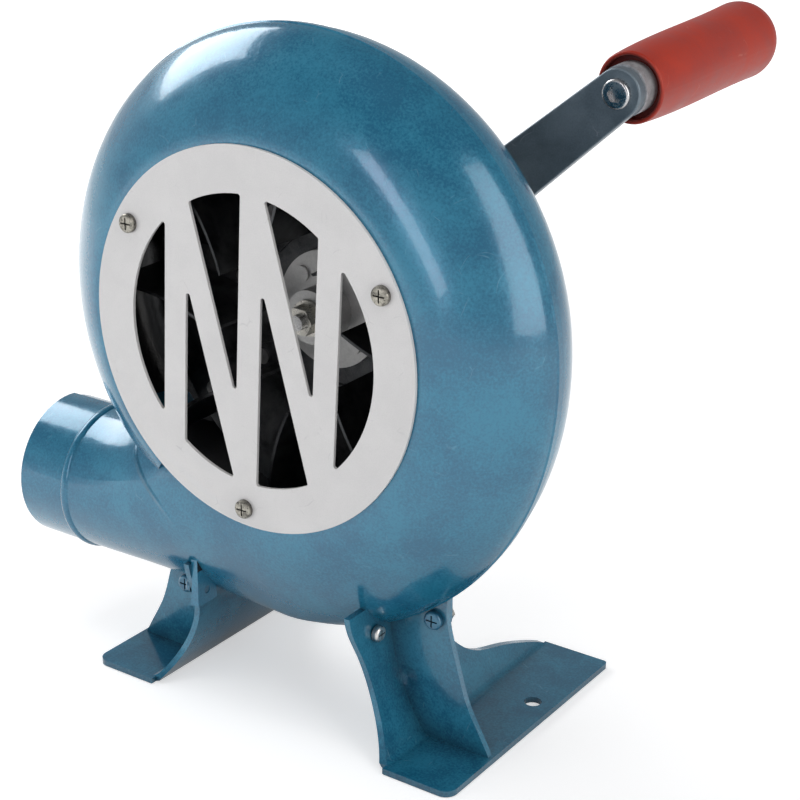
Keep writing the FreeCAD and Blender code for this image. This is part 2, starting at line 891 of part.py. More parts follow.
def lay_pinion():
    start = slow_gear_depth - pinion_overlap
    end = slow_gear_depth + slow_gear_width + pinion_overlap
    gear = gear_blank(pinion_teeth, start, end, lay_x, lay_z, slow_line + 180 + 180.0 / pinion_teeth)
    return gear.cut(rod(lay_shaft_r, start - 1, end + 1, lay_x, lay_z))


def lay_gear():
    start = fast_gear_depth
    end = start + fast_gear_width
    gear = gear_blank(lay_gear_teeth, start, end, lay_x, lay_z, fast_line + 180)
    gear = gear.cut(rod(lay_shaft_r, start - 1, end + 1, lay_x, lay_z))
    web_r = gear_module * lay_gear_teeth / 2 - gear_rim
    hub_r = lay_shaft_r + lay_gear_hub_wall
    for a, b in ((start - 1, start + lay_gear_recess), (end - lay_gear_recess, end + 1)):
        gear = gear.cut(tube(web_r, hub_r, a, b, lay_x, lay_z))
    return gear


def fan_pinion():
    start = fast_gear_depth - pinion_overlap
    end = fast_gear_depth + fast_gear_width + pinion_overlap
    gear = gear_blank(pinion_teeth, start, end, 0, 0, fast_line + 180.0 / pinion_teeth)
    return gear.cut(rod(fan_thread_r, start - 1, end + 1))


def lay_shaft():
    end = cover_start() + cover_thickness - lay_shaft_inset
    return rod(lay_shaft_r, case_front() + lay_shaft_inset, end, lay_x, lay_z)


def crank_shaft():
    start = slow_gear_depth - circlip_thickness - crank_shaft_nose
    square_end = arm_depth + arm_thickness
    shaft = rod(crank_shaft_r, start, arm_depth - crank_square_relief, 0, crank_rise)
    half = square_side / 2
    z = axis_height + crank_rise
    square = slab(-half, half, arm_depth - 2, square_end, z - half, z + half)
    thread_end = square_end + washer_thickness + crank_nut_height + crank_thread_spare
    thread = rod(crank_thread_r, square_end - 2, thread_end, 0, crank_rise)
    clip = slow_gear_depth - circlip_thickness
    ring = tube(crank_shaft_r + 1, crank_shaft_r - circlip_groove, clip, slow_gear_depth, 0, crank_rise)
    return joined([shaft, square, thread]).cut(ring).cut(key_block(key_size))


def crank_key():
    return key_block(key_size)


def crank_circlip():
    start = slow_gear_depth - circlip_thickness
    inner = crank_shaft_r - circlip_groove
    ring = tube(circlip_r, inner, start, slow_gear_depth, 0, crank_rise)
    z = axis_height + crank_rise
    gap = slab(-circlip_gap / 2, circlip_gap / 2, start - 1, slow_gear_depth + 1,
               z - 2 * circlip_r, z - circlip_gap_top)
    return ring.cut(gap)


# Gear case

def case_front():
    return back_depth + gasket_thickness


def cover_start():
    return case_end_depth + gasket_thickness


def two_circle_face(xa, za, ra, xb, zb, rb, depth):
    """The face held by a taut band round two circles."""
    apart = math.hypot(xb - xa, zb - za)
    line = math.atan2(zb - za, xb - xa)
    lean = math.acos((ra - rb) / apart)

    def on(x, z, r, a):
        return up_y(x + r * math.cos(a), z + r * math.sin(a), depth)

    a1, a2 = line + lean, line - lean
    big = Part.Arc(on(xa, za, ra, a1), on(xa, za, ra, line + math.pi), on(xa, za, ra, a2)).toShape()
    small = Part.Arc(on(xb, zb, rb, a2), on(xb, zb, rb, line), on(xb, zb, rb, a1)).toShape()
    run_out = Part.makeLine(on(xa, za, ra, a2), on(xb, zb, rb, a2))
    run_back = Part.makeLine(on(xb, zb, rb, a1), on(xa, za, ra, a1))
    return Part.Face(Part.Wire([big, run_out, small, run_back]))


def case_block(grow, start, end):
    face = two_circle_face(0, crank_rise, crank_side_r + grow, lay_x, lay_z, lay_side_r + grow, start)
    return face.extrude(V(0, end - start, 0))


def case_screw_places():
    places = []
    out = 0.5 * case_flange_out
    for angle in case_screws_on_crank_side:
        a = math.radians(angle)
        r = crank_side_r + out
        places.append((r * math.cos(a), crank_rise + r * math.sin(a)))
    for angle in case_screws_on_lay_side:
        a = math.radians(angle)
        r = lay_side_r + out
        places.append((lay_x + r * math.cos(a), lay_z + r * math.sin(a)))
    return places


def case_gasket():
    ring = case_block(case_flange_out, back_depth, case_front())
    holes = [rod(bearing_r + bearing_boss_wall + boss_hole_gap, back_depth - 1, case_front() + 1)]
    holes += [rod(case_screw_r + clear_hole_gap, back_depth - 1, case_front() + 1, x, z)
              for x, z in case_screw_places()]
    return cut_all(ring, holes)


def gear_case():
    start = case_front()
    bearing_boss_r = bearing_r + bearing_boss_wall
    lay_bush_r = lay_shaft_r + bush_wall
    solid = [case_block(0, start, case_end_depth),
             case_block(case_flange_out, start, start + case_flange_thickness),
             case_block(case_flange_out, case_end_depth - case_flange_thickness, case_end_depth)]
    oil_y = (start + case_end_depth) / 2
    top = axis_height + crank_rise + crank_side_r + oil_boss_height
    solid.append(Part.makeCylinder(oil_boss_r, oil_boss_height + case_wall,
                                   V(0, y_at(oil_y), top - oil_boss_height - case_wall)))
    room = case_block(-case_wall, start + case_floor, case_end_depth + 1)
    bosses = [rod(bearing_boss_r, front_bearing_depth, rear_bearing_depth + bearing_width),
              rod(lay_bush_r + lay_boss_wall, start, start + lay_shaft_inset + lay_boss_length, lay_x, lay_z)]
    case = joined([joined(solid).cut(room)] + bosses)
    shoulder_r = bearing_r - bearing_shoulder
    holes = [rod(bearing_r, front_bearing_depth - 1, front_bearing_depth + bearing_width),
             rod(shoulder_r, front_bearing_depth, rear_bearing_depth + 1),
             rod(bearing_r, rear_bearing_depth, rear_bearing_depth + bearing_width + 1),
             rod(lay_bush_r, start + lay_shaft_inset, start + lay_boss_length + 9, lay_x, lay_z),
             Part.makeCylinder(oil_plug_r, 20, V(0, y_at(oil_y), top - 15))]
    for x, z in case_screw_places():
        holes.append(rod(case_screw_r + clear_hole_gap, start - 1, start + case_flange_thickness + 1, x, z))
        holes.append(rod(case_screw_r, case_end_depth - case_flange_thickness - 1, case_end_depth + 1, x, z))
    return cut_all(case, holes)


def case_screws():
    """The screws that hold the gear case on the rear shell; their nuts are inside."""
    head = case_front() + case_flange_thickness
    length = head - back_depth + wall + case_nut_height + case_screw_spare
    return [pan_screw(case_screw_r, case_screw_head_r, case_screw_head_height, length, x, z, head, 1)
            for x, z in case_screw_places()]


def case_nuts():
    end = back_depth - wall
    return [nut(case_nut_flats, case_screw_r, end - case_nut_height, end, x, z)
            for x, z in case_screw_places()]


def cover_gasket():
    ring = case_block(case_flange_out, case_end_depth, cover_start())
    ring = ring.cut(case_block(-case_wall, case_end_depth - 1, cover_start() + 1))
    holes = [rod(case_screw_r + clear_hole_gap, case_end_depth - 1, cover_start() + 1, x, z)
             for x, z in case_screw_places()]
    return cut_all(ring, holes)


def gear_cover():
    start = cover_start()
    end = start + cover_thickness
    crank_bush_r = crank_shaft_r + bush_wall
    lay_bush_r = lay_shaft_r + bush_wall
    solid = [case_block(case_flange_out, start, end),
             rod(crank_bush_r + crank_boss_wall, start, end + crank_boss_length, 0, crank_rise),
             rod(lay_bush_r + lay_boss_wall, end - 1, end + lay_cap_height, lay_x, lay_z)]
    holes = [rod(crank_bush_r, start - 1, end + crank_boss_length + 1, 0, crank_rise),
             rod(lay_bush_r, start - 1, end, lay_x, lay_z)]
    holes += [rod(case_screw_r + clear_hole_gap, start - 1, end + 1, x, z) for x, z in case_screw_places()]
    return cut_all(joined(solid), holes)


def cover_screws():
    head = cover_start() + cover_thickness
    length = cover_thickness + gasket_thickness + case_flange_thickness - cover_screw_short
    return [pan_screw(case_screw_r, case_screw_head_r, case_screw_head_height, length, x, z, head, 1)
            for x, z in case_screw_places()]


def crank_bush():
    bore = crank_shaft_r + running_clearance
    start = slow_gear_depth + slow_gear_width + shaft_end_gap
    end = cover_start() + cover_thickness + crank_boss_length
    body = tube(crank_shaft_r + bush_wall, bore, start, end, 0, crank_rise)
    flange = tube(crank_shaft_r + bush_wall + bush_flange_out, bore, start, cover_start(), 0, crank_rise)
    return body.fuse(flange).removeSplitter()


def lay_bush_front():
    bore = lay_shaft_r + running_clearance
    start = case_front() + lay_shaft_inset
    return tube(lay_shaft_r + bush_wall, bore, start, start + lay_boss_length, lay_x, lay_z)


def lay_bush_rear():
    bore = lay_shaft_r + running_clearance
    start = slow_gear_depth + slow_gear_width + pinion_overlap + lay_bush_gap
    return tube(lay_shaft_r + bush_wall, bore, start, cover_start() + cover_thickness, lay_x, lay_z)


def oil_plug():
    oil_y = y_at((case_front() + case_end_depth) / 2)
    top = axis_height + crank_rise + crank_side_r + oil_boss_height
    corner = oil_plug_flats / math.sqrt(3)
    points = [V(corner * math.cos(math.radians(a)), oil_y + corner * math.sin(math.radians(a)), top)
              for a in range(0, 361, 60)]
    head = Part.Face(Part.makePolygon(points)).extrude(V(0, 0, oil_plug_height))
    stem_length = case_wall + oil_boss_height
    stem = Part.makeCylinder(oil_plug_r, stem_length, V(0, oil_y, top - stem_length))
    return head.fuse(stem)


# Crank

arm_a = math.radians(arm_angle)
spindle_x = arm_length * math.cos(arm_a)
spindle_z = crank_rise + arm_length * math.sin(arm_a)
collar_start = arm_depth + arm_thickness
spindle_end = grip_start + grip_length - grip_wall_end


def crank_arm():
    face = two_circle_face(0, crank_rise, arm_hub_r, spindle_x, spindle_z, arm_end_r, arm_depth)
    arm = face.extrude(V(0, arm_thickness, 0))
    arm = arm.makeFillet(arm_edge_r, [e for e in arm.Edges if not is_along_y(e)])
    half = square_side / 2
    z = axis_height + crank_rise
    square = slab(-half, half, arm_depth - 1, collar_start + 1, z - half, z + half)
    return arm.cut(square).cut(leaned(rod(spindle_r, arm_depth - 9, collar_start + 9, spindle_x, spindle_z)))


def leaned(shape):
    """Tip a shape about the handle's place on the arm, its far end upwards."""
    copy = shape.copy()
    copy.rotate(up_y(spindle_x, spindle_z, arm_depth), V(1, 0, 0), handle_lean)
    return copy


def crank_washer():
    return tube(crank_washer_r, crank_thread_r, collar_start, collar_start + washer_thickness, 0, crank_rise)


def crank_nut():
    start = collar_start + washer_thickness
    return nut(crank_nut_flats, crank_thread_r, start, start + crank_nut_height, 0, crank_rise)


def handle_spindle():
    front = arm_depth - spindle_head_height
    head = rod(spindle_head_r, front, arm_depth + 1, spindle_x, spindle_z)
    head = leaned(head.makeFillet(spindle_head_edge_r, [front_edge(head)]))
    shank = leaned(rod(spindle_r, arm_depth - 1, spindle_end, spindle_x, spindle_z))
    socket = leaned(hexagon(socket_flats, front - 1, front + socket_deep, spindle_x, spindle_z))
    groove = leaned(clip_ring(spindle_r + 1, 0))
    return in_depths(head, 0, arm_depth).fuse(shank).cut(socket).cut(groove)


def front_edge(shape):
    rings = [e for e in shape.Edges if len(e.Vertexes) == 1]
    return min(rings, key=lambda e: e.CenterOfMass.y)


def spindle_collar():
    collar = tube(collar_r, spindle_r, arm_depth, collar_start + collar_length, spindle_x, spindle_z)
    return in_depths(leaned(collar), collar_start, grip_start + grip_length)


def clip_ring(r, gap):
    """A ring round the spindle at the clip's place, with a gap left on each side of the clip."""
    start = spindle_end - clip_from_end
    return tube(r, spindle_r - clip_groove, start - gap, start + clip_width + gap, spindle_x, spindle_z)


def grip_clip():
    return leaned(clip_ring(clip_r, 0))


def handle_grip():
    """A moulded grip: rounded rim, recessed mouth, slight swell, domed closed end, blind bore."""
    end = grip_start + grip_length
    full_r, dome_start = grip_swell[-1]
    dome = grip_length - dome_start

    def at(r, along):
        return V(spindle_x + r, y_at(grip_start + along), axis_height + spindle_z)

    lip_top = at((grip_mouth_r + grip_rim_r) / 2, 0)
    rim = Part.Arc(at(grip_mouth_r, grip_lip), lip_top, at(grip_rim_r, grip_lip))
    side = Part.BSplineCurve()
    side.interpolate([at(grip_rim_r, grip_lip)] + [at(r, along) for r, along in grip_swell])
    cap = Part.BSplineCurve()
    out, along = grip_dome_bulge
    bulge = at(out * full_r, dome_start + along * dome)
    cap.interpolate([at(full_r, dome_start), bulge, at(0, grip_length)],
                    InitialTangent=V(0, 1, 0), FinalTangent=V(-1, 0, 0))
    edges = [rim.toShape(), side.toShape(), cap.toShape(), Part.makeLine(at(0, grip_length), at(0, grip_lip)),
             Part.makeLine(at(0, grip_lip), at(grip_mouth_r, grip_lip))]
    body = Part.Face(Part.Wire(Part.__sortEdges__(edges))).revolve(at(0, 0), V(0, 1, 0), 360)
    bore_end = spindle_end + spindle_end_gap
    bore = rod(spindle_r + grip_clearance, grip_start - 1, bore_end, spindle_x, spindle_z)
    floor = collar_start + collar_length + grip_mouth_gap
    mouth = rod(grip_mouth_r, grip_start - 1, floor, spindle_x, spindle_z)
    groove = clip_ring(clip_r + clip_gap, clip_gap)
    return leaned(cut_all(body, [bore, mouth, groove]))


# Feet, drawn on the right side and mirrored

def web_curve_r():
    drop = foot_straight_z - foot_thickness
    flare = foot_bottom_x - foot_top_x
    return (drop ** 2 + flare ** 2) / (2 * flare)


def foot_section(offset):
    """Points on one face of the web: the top, the start of its curve, half way down and its bottom."""
    r = web_curve_r()
    centre_x = foot_top_x + r
    points = []
    for share in (0.0, 0.5, 1.0):
        z = foot_straight_z - share * (foot_straight_z - foot_thickness)
        a = math.asin((foot_straight_z - z) / r)
        points.append((centre_x - (r + offset) * math.cos(a), foot_straight_z - (r + offset) * math.sin(a)))
    return points


def foot_blank():
    start = foot_front_depth
    outer = foot_section(0)
    inner = foot_section(foot_thickness)

    def at(x, z):
        return V(x, y_at(start), z)

    low = inner[2]
    edges = [Part.makeLine(at(foot_top_x, web_reach_z), at(*outer[0])),
             Part.Arc(at(*outer[0]), at(*outer[1]), at(*outer[2])).toShape(),
             Part.makeLine(at(*outer[2]), at(foot_outer_x, foot_thickness)),
             Part.makeLine(at(foot_outer_x, foot_thickness), at(foot_outer_x, 0)),
             Part.makeLine(at(foot_outer_x, 0), at(low[0] + foot_thickness, 0)),
             Part.makeLine(at(low[0] + foot_thickness, 0), at(*low)),
             Part.Arc(at(*low), at(*inner[1]), at(*inner[0])).toShape(),
             Part.makeLine(at(*inner[0]), at(inner[0][0], web_reach_z)),
             Part.makeLine(at(inner[0][0], web_reach_z), at(foot_top_x, web_reach_z))]
    blank = Part.Face(Part.Wire(edges)).extrude(V(0, foot_length, 0))
    rear_y = y_at(start + foot_length)
    blank = blank.makeFillet(foot_front_corner_r, [e for e in blank.Edges if is_corner_at(e, y_at(start))])
    blank = blank.makeFillet(foot_rear_corner_r, [e for e in blank.Edges if is_corner_at(e, rear_y)])
    inside = [e for e in blank.Edges if is_run_at(e, *outer[2])]
    return blank.makeFillet(foot_bend_r, inside)


def is_corner_at(edge, y):
    if len(edge.Vertexes) != 2:
        return False
    return all(abs(v.X - foot_outer_x) < 1e-6 and abs(v.Y - y) < 1e-6 for v in edge.Vertexes)


def is_run_at(edge, x, z):
    if len(edge.Vertexes) != 2:
        return False
    a, b = (v.Point for v in edge.Vertexes)
    return all(abs(p.x - x) < 1e-6 and abs(p.z - z) < 1e-6 for p in (a, b))


def stretched(outline):
    """An outline of the foot with its upper points moved with the axis height, and its lowest kept."""
    low = foot_thickness
    rise = (foot_drawn_top * foot_stretch - low) / (foot_drawn_top - low)
    return [(across, low + (z - low) * rise) for across, z in outline]


def web_side():
    """What the web keeps, seen from the side: a waisted upright with a long low heel."""

    def at(depth, z):
        return V(0, y_at(depth), z)

    toe = Part.BSplineCurve()
    toe_points = stretched(web_toe)
    heel_points = stretched(web_heel)
    toe.interpolate([at(*p) for p in toe_points])
    heel = Part.BSplineCurve()
    heel.interpolate([at(*p) for p in heel_points])
    corners = [toe_points[-1], (web_top_depth, web_top_z), (web_top_depth, web_reach_z),
               (web_heel[-1][0], web_reach_z), heel_points[-1]]
    base = [heel_points[0], (web_heel[0][0], 0), (web_toe[0][0], 0), toe_points[0]]
    edges = [toe.toShape(), heel.toShape()]
    for chain in (corners, base):
        edges += [Part.makeLine(at(*a), at(*b)) for a, b in zip(chain, chain[1:])]
    face = Part.Face(Part.Wire(Part.__sortEdges__(edges)))
    return face.extrude(V(foot_outer_x, 0, 0))


def housing_form():
    """What the feet have to leave to the housing."""
    front = in_depths(form(0), -5, seam_depth)
    return united([front, in_depths(form(lap_step), seam_depth, 2 * back_depth), ridge()])


def foot(fixings, housing):
    """A foot on the right side, cut to fit under the housing."""
    blank = foot_blank()
    flange = slab(foot_bottom_x, foot_outer_x + 1, 0, foot_front_depth + foot_length + 1, -1, foot_thickness)
    keep = web_side().fuse(flange)
    hole = Part.makeCylinder(foot_hole_r, 3 * foot_thickness, V(foot_hole_x, 0, -foot_thickness))
    return cut_all(blank.common(keep), [housing, hole, web_screw_hole(fixings, clear_hole_gap)])


def gusset(fixings, housing):
    """A gusset plate on the right side, between the foot's base, its web and the housing."""
    start = seam_depth - foot_thickness

    def at(x, z):
        return V(x, y_at(start), z)

    edge = Part.BSplineCurve()
    outline = stretched(gusset_outer)
    edge.interpolate([at(*p) for p in outline])
    last_x, last_z = outline[-1]
    inner_x = foot_top_x - foot_thickness
    corners = [(last_x, last_z), (inner_x, last_z), (inner_x, gusset_top[1]), gusset_top, outline[0]]
    edges = [edge.toShape()] + [Part.makeLine(at(*a), at(*b)) for a, b in zip(corners, corners[1:])]
    plate = Part.Face(Part.Wire(edges)).extrude(V(0, foot_thickness, 0))
    return cut_all(plate, [foot_inside(), foot_blank(), housing, gusset_screw_hole(fixings)])


def foot_inside():
    """Everything on the fan side of the web's outer face."""
    outer = foot_section(0)

    def at(x, z):
        return V(x, y_at(foot_front_depth), z)

    edges = [Part.Arc(at(*outer[0]), at(*outer[1]), at(*outer[2])).toShape()]
    corners = [outer[2], (outer[2][0], -1), (0, -1), (0, web_reach_z), (foot_top_x, web_reach_z), outer[0]]
    edges += [Part.makeLine(at(*a), at(*b)) for a, b in zip(corners, corners[1:])]
    return Part.Face(Part.Wire(edges)).extrude(V(0, foot_length, 0))


def web_lean(z):
    """How far the web's outer face has flared at one height."""
    r = web_curve_r()
    drop = max(foot_straight_z - z, 0.0)
    return r - math.sqrt(r ** 2 - drop ** 2)


def web_screw(fixings):
    """The screw that is threaded through one foot's web into its lug, on the right side."""
    depth, z = fixings[:2]
    length = foot_thickness + lug_thickness + foot_screw_spare
    screw = pan_screw(web_screw_r, web_screw_head_r, foot_screw_head_height, length, 0, 0, 0)
    screw.translate(-up_y(0, 0, 0))
    screw.rotate(V(0, 0, 0), V(0, 0, 1), 90)
    screw.translate(V(foot_top_x + web_lean(z - web_screw_head_r), y_at(depth), z))
    return screw


def gusset_screw(fixings):
    x, z = fixings[2:]
    length = foot_thickness + ear_thickness + foot_nut_height + foot_screw_spare
    return pan_screw(gusset_screw_r, gusset_screw_head_r, foot_screw_head_height, length,
                     x, z - axis_height, seam_depth - foot_thickness)


def foot_screws():
    """Four screws: one through each web, one through each gusset."""
    left = [web_screw(left_fixings), gusset_screw(left_fixings)]
    return [web_screw(right_fixings), gusset_screw(right_fixings)] + [mirrored(s) for s in left]


def gusset_nut(fixings):
    x, z = fixings[2:]
    start = seam_depth + ear_thickness
    return nut(foot_nut_flats, gusset_screw_r, start, start + foot_nut_height, x, z - axis_height)


def foot_nuts():
    return [gusset_nut(right_fixings), mirrored(gusset_nut(left_fixings))]


def save(name, shape):
    if isinstance(shape, list):
        shape = Part.makeCompound(shape)
    shape.exportStep(os.path.join("parts", name + ".step"))
    state = "valid" if shape.isValid() else "BAD"
    print(name, len(shape.Solids), "solids", round(shape.Volume, 1), "mm3", state)


def main():
    os.makedirs("parts", exist_ok=True)
    housing = housing_form()
    other_side = mirrored(housing)
    nodes = {
        "front_shell": front_shell(),
        "rear_shell": rear_shell(),
        "intake_grille": intake_grille(),
        "grille_screws": grille_screws(),
        "right_foot": foot(right_fixings, housing),
        "left_foot": mirrored(foot(left_fixings, other_side)),
        "right_gusset": gusset(right_fixings, housing),
        "left_gusset": mirrored(gusset(left_fixings, other_side)),
        "foot_screws": foot_screws(),
        "foot_nuts": foot_nuts(),
        "case_gasket": case_gasket(),
        "gear_case": gear_case(),
        "case_screws": case_screws(),
        "case_nuts": case_nuts(),
        "cover_gasket": cover_gasket(),
        "gear_cover": gear_cover(),
        "cover_screws": cover_screws(),
        "oil_plug": oil_plug(),
        "crank_bush": crank_bush(),
        "layshaft_bush_front": lay_bush_front(),
        "layshaft_bush_rear": lay_bush_rear(),
        "front_bearing_outer_ring": outer_ring(front_bearing_depth),
        "rear_bearing_outer_ring": outer_ring(rear_bearing_depth),
        "front_bearing_inner_ring": inner_ring(front_bearing_depth),
        "rear_bearing_inner_ring": inner_ring(rear_bearing_depth),
        "front_bearing_balls": balls(front_bearing_depth),
        "rear_bearing_balls": balls(rear_bearing_depth),
        "fan_shaft": fan_shaft(),
        "hub_spacer": hub_spacer(),
        "impeller_hub": impeller_hub(),
        "impeller_disc": impeller_disc(),
        "impeller_blades": impeller_blades(),
        "impeller_rivets": impeller_rivets(),
        "fan_washer": fan_washer(),
        "fan_nut": fan_nut(),
        "fan_pinion": fan_pinion(),
        "layshaft": lay_shaft(),
        "layshaft_gear": lay_gear(),
        "layshaft_pinion": lay_pinion(),
        "crank_shaft": crank_shaft(),
        "crank_gear": crank_gear(),
        "crank_gear_key": crank_key(),
        "crank_gear_circlip": crank_circlip(),
        "crank_arm": crank_arm(),
        "crank_washer": crank_washer(),
        "crank_nut": crank_nut(),
        "handle_spindle": handle_spindle(),
        "spindle_collar": spindle_collar(),
        "grip_clip": grip_clip(),
        "handle_grip": handle_grip(),
    }
    for name, shape in nodes.items():
        save(name, shape)


main()
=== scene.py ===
import bpy
import math
from mathutils import Matrix, Vector

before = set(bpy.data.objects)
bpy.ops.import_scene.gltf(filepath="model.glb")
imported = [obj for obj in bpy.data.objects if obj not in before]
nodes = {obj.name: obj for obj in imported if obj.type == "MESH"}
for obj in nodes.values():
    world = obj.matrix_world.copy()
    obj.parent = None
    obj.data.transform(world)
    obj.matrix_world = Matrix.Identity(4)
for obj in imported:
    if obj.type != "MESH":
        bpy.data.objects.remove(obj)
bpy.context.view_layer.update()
scene = bpy.context.scene
print("frame loaded:", len(nodes), "nodes")


# small helpers for node trees

mixSockets = {"RGBA": (0, 6, 7, 2), "VECTOR": (0, 4, 5, 1)}  # factor, first, second and result
socketKinds = {"colour": "NodeSocketColor", "number": "NodeSocketFloat", "vector": "NodeSocketVector"}
lengthOperations = ("DISTANCE", "DOT_PRODUCT", "LENGTH")


def addNode(tree, kind, x, y, **settings):
    node = tree.nodes.new(kind)
    node.location = (x, y)
    for name, value in settings.items():
        setattr(node, name, value)
    return node


def feed(tree, value, socket):
    # a plain value is set in the socket, and another node's output is linked to it
    if isinstance(value, (float, int, tuple)):
        socket.default_value = (*value, 1.0) if socket.type == "RGBA" else value
    else:
        tree.links.new(value, socket)


def mix(tree, x, y, kind, factor, first, second, blend="MIX"):
    node = addNode(tree, "ShaderNodeMix", x, y, data_type=kind, blend_type=blend)
    *taken, result = mixSockets[kind]
    for number, value in zip(taken, (factor, first, second)):
        feed(tree, value, node.inputs[number])
    return node.outputs[result]


def calculate(tree, x, y, operation, *values):
    node = addNode(tree, "ShaderNodeMath", x, y, operation=operation)
    for value, socket in zip(values, node.inputs):
        feed(tree, value, socket)
    return node.outputs["Value"]


def calculateVector(tree, x, y, operation, *vectors):
    node = addNode(tree, "ShaderNodeVectorMath", x, y, operation=operation)
    for vector, socket in zip(vectors, node.inputs):
        feed(tree, vector, socket)
    return node.outputs["Value" if operation in lengthOperations else "Vector"]


def mapRange(tree, x, y, value, fromLow, fromHigh, toLow, toHigh):
    node = addNode(tree, "ShaderNodeMapRange", x, y)
    labels = ("Value", "From Min", "From Max", "To Min", "To Max")
    for label, given in zip(labels, (value, fromLow, fromHigh, toLow, toHigh)):
        feed(tree, given, node.inputs[label])
    return node.outputs["Result"]


def noise(tree, x, y, place, scale, detail=2.0, rough=0.5, distortion=0.0):
    node = addNode(tree, "ShaderNodeTexNoise", x, y)
    labels = ("Vector", "Scale", "Detail", "Roughness", "Distortion")
    for label, given in zip(labels, (place, scale, detail, rough, distortion)):
        feed(tree, given, node.inputs[label])
    return node.outputs


def objectPlace(tree, x, y):
    return addNode(tree, "ShaderNodeTexCoord", x, y).outputs["Object"]


def splitAxes(tree, x, y, place):
    node = addNode(tree, "ShaderNodeSeparateXYZ", x, y)
    feed(tree, place, node.inputs["Vector"])
    return node.outputs


def newGroup(name, inputs, outputs):
    tree = bpy.data.node_groups.new(name, "ShaderNodeTree")
    for label, (kind, value) in inputs.items():
        socket = tree.interface.new_socket(name=label, in_out="INPUT", socket_type=socketKinds[kind])
        socket.default_value = value
    for label in outputs:
        kind = "colour" if label == "Color" else "number"
        tree.interface.new_socket(name=label, in_out="OUTPUT", socket_type=socketKinds[kind])
    source = addNode(tree, "NodeGroupInput", -900, 0)
    sink = addNode(tree, "NodeGroupOutput", 700, 0)
    return tree, source.outputs, sink.inputs


# shader groups that the finishes share

mottleLook = {"driftSpan": (0.32, 0.68), "grainSpan": (0.3, 0.7), "grainDepth": 0.5}


def makeMottleGroup(look):
    # two shades that drift into each other, with a fine grain in them
    tree, given, result = newGroup("mottle", {
        "Light": ("colour", (0.5, 0.5, 0.5, 1.0)),
        "Dark": ("colour", (0.3, 0.3, 0.3, 1.0)),
        "Scale": ("number", 60.0),
        "Grain Scale": ("number", 1500.0),
        "Grain": ("number", 0.2),
        "Smooth": ("number", 0.25),
        "Rough": ("number", 0.4),
    }, ["Color", "Roughness"])
    place = objectPlace(tree, -900, -300)
    wide = noise(tree, -650, 100, place, given["Scale"], detail=4.0, rough=0.6, distortion=0.4)
    fine = noise(tree, -650, -200, place, given["Grain Scale"], rough=0.6)
    drift = mapRange(tree, -400, 100, wide["Fac"], *look["driftSpan"], 0.0, 1.0)
    depth = look["grainDepth"]
    speckle = mapRange(tree, -400, -200, fine["Fac"], *look["grainSpan"], -depth, depth)
    grain = calculate(tree, -200, -200, "MULTIPLY", speckle, given["Grain"])
    share = calculate(tree, -50, 0, "ADD", drift, grain)
    colour = mix(tree, 150, 150, "RGBA", share, given["Dark"], given["Light"])
    roughness = mapRange(tree, 150, -100, share, 0.0, 1.0, given["Smooth"], given["Rough"])
    feed(tree, colour, result["Color"])
    feed(tree, roughness, result["Roughness"])
    return tree


scuffLook = {"bendScale": 35.0, "bend": (0.02, 0.02, 0.02), "lineWidth": 0.02,
             "patchScale": 140.0, "patchSpan": (0.6, 0.72)}


def makeScuffGroup(look):
    # thin scratches in scattered patches, 1 where the finish is worn
    tree, given, result = newGroup("scuffs", {
        "Scale": ("number", 90.0),
        "Amount": ("number", 0.5),
    }, ["Mask"])
    place = objectPlace(tree, -900, -300)
    sway = noise(tree, -700, 150, place, look["bendScale"])
    bent = calculateVector(tree, -550, 150, "MULTIPLY_ADD", sway["Color"], look["bend"], place)
    cells = addNode(tree, "ShaderNodeTexVoronoi", -400, 150, feature="DISTANCE_TO_EDGE")
    feed(tree, bent, cells.inputs["Vector"])
    feed(tree, given["Scale"], cells.inputs["Scale"])
    line = mapRange(tree, -200, 150, cells.outputs["Distance"], 0.0, look["lineWidth"], 1.0, 0.0)
    patch = noise(tree, -650, -250, place, look["patchScale"])
    where = mapRange(tree, -400, -250, patch["Fac"], *look["patchSpan"], 0.0, 1.0)
    both = calculate(tree, 0, 0, "MULTIPLY", line, where)
    feed(tree, calculate(tree, 200, 0, "MULTIPLY", both, given["Amount"]), result["Mask"])
    return tree


def makeReliefGroup():
    # soft waves with a fine tooth on top, for bump
    tree, given, result = newGroup("relief", {
        "Wave Scale": ("number", 250.0),
        "Tooth Scale": ("number", 1800.0),
        "Tooth": ("number", 0.3),
    }, ["Height"])
    place = objectPlace(tree, -900, -300)
    wave = noise(tree, -600, 100, place, given["Wave Scale"])
    tooth = noise(tree, -600, -150, place, given["Tooth Scale"], rough=0.6)
    height = calculate(tree, -300, 0, "MULTIPLY_ADD", tooth["Fac"], given["Tooth"], wave["Fac"])
    feed(tree, height, result["Height"])
    return tree


